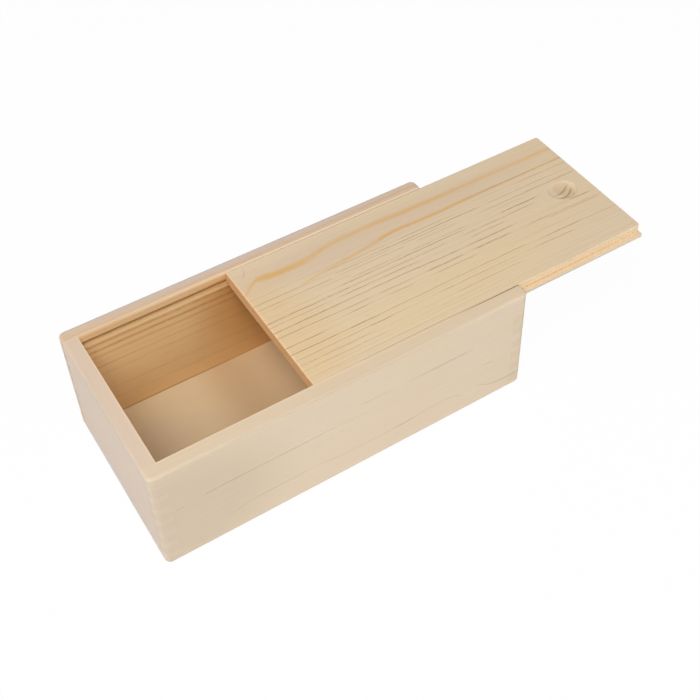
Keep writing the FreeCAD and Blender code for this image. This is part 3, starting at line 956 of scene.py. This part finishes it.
def studio_floor():
    """A wide pale floor just under the box, seen as nearly white, which takes its soft shadow."""
    half = 6.0
    level = -0.15 * MM
    paper_grey = (0.8, 0.8, 0.8, 1.0)
    shown_as_white = 0.97
    mesh = bpy.data.meshes.new("studio_floor")
    corners = [(-half, -half, level), (half, -half, level), (half, half, level), (-half, half, level)]
    mesh.from_pydata(corners, [], [(0, 1, 2, 3)])
    floor = bpy.data.objects.new("studio_floor", mesh)
    bpy.context.scene.collection.objects.link(floor)

    material = bpy.data.materials.new("white_paper")
    material.use_nodes = True
    tree = material.node_tree
    tree.nodes.clear()
    w = Wiring(tree)
    paper = w.node("ShaderNodeBsdfDiffuse")
    paper.inputs["Color"].default_value = paper_grey
    white = w.node("ShaderNodeEmission")
    white.inputs["Color"].default_value = WHITE
    mixed = w.node("ShaderNodeMixShader")
    w.feed(mixed.inputs[0], w.math("MULTIPLY", plainly_seen(w), shown_as_white))
    w.feed(mixed.inputs[1], paper.outputs[0])
    w.feed(mixed.inputs[2], white.outputs[0])
    out = w.node("ShaderNodeOutputMaterial")
    w.feed(out.inputs["Surface"], mixed.outputs[0])
    mesh.materials.append(material)


def plainly_seen(w):
    """1 for rays that the camera sends straight or by way of gloss or glass."""
    path = w.node("ShaderNodeLightPath")
    seen = w.math("MAXIMUM", path.outputs["Is Camera Ray"], path.outputs["Is Glossy Ray"])
    return w.math("MAXIMUM", seen, path.outputs["Is Transmission Ray"])


def studio_world():
    """A white surround, seen as full white and shining more softly than that."""
    shining, seen = 0.17, 1.0
    world = bpy.data.worlds.new("white_surround")
    bpy.context.scene.world = world
    world.use_nodes = True
    tree = world.node_tree
    tree.nodes.clear()
    w = Wiring(tree)
    surround = w.node("ShaderNodeBackground")
    surround.inputs["Color"].default_value = WHITE
    w.feed(surround.inputs["Strength"], w.remap(plainly_seen(w), 0.0, 1.0, shining, seen))
    out = w.node("ShaderNodeOutputWorld")
    w.feed(out.inputs["Surface"], surround.outputs[0])


def soft_box(name, azimuth, elevation, power):
    """A large square lamp, aimed at the middle of the box with its lid drawn out."""
    side, away = 0.9, 1.5
    middle = Vector((0.03, 0.0, 0.03))
    data = bpy.data.lights.new(name, "AREA")
    data.shape = "SQUARE"
    data.size = side
    data.energy = power
    lamp = bpy.data.objects.new(name, data)
    stands_at = away * direction(math.radians(azimuth), math.radians(elevation))
    turn = (middle - stands_at).to_track_quat("-Z", "Y").to_matrix().to_4x4()
    lamp.matrix_world = Matrix.Translation(stands_at) @ turn
    bpy.context.scene.collection.objects.link(lamp)


def studio_camera():
    """The camera, from its angles round the box and its distances in millimetres.

    The focal length and the point that the camera looks straight at are in pixels of its
    square image.
    """
    azimuth = math.radians(-31.606)
    elevation = math.radians(44.710)
    roll = math.radians(-1.214)
    distance, aside, above = 612.03, 35.42, 68.44
    image_side, focal_length = 700, 1197.99
    centre_x, centre_y = 372.6, 266.1

    back = direction(azimuth, elevation)
    level = Vector((math.cos(azimuth), math.sin(azimuth), 0.0))
    upright = back.cross(level)
    right = level * math.cos(roll) + upright * math.sin(roll)
    up = upright * math.cos(roll) - level * math.sin(roll)

    data = bpy.data.cameras.new("studio_camera")
    data.sensor_width = 36.0
    data.lens = focal_length / image_side * data.sensor_width
    data.shift_x = (image_side / 2 - centre_x) / image_side
    data.shift_y = (centre_y - image_side / 2) / image_side
    data.clip_start = 0.05
    data.clip_end = 50.0
    camera = bpy.data.objects.new("studio_camera", data)
    turn = Matrix((right, up, back)).transposed().to_4x4()
    place = (back * distance + right * aside + up * above) * MM
    camera.matrix_world = Matrix.Translation(place) @ turn
    bpy.context.scene.collection.objects.link(camera)
    bpy.context.scene.camera = camera


studio_floor()
studio_world()
soft_box("key_soft_box", azimuth=-36, elevation=60, power=18.0)
soft_box("left_soft_box", azimuth=-105, elevation=35, power=3.8)
soft_box("front_soft_box", azimuth=22, elevation=28, power=4.2)
studio_camera()
bpy.context.scene.view_settings.view_transform = "Standard"
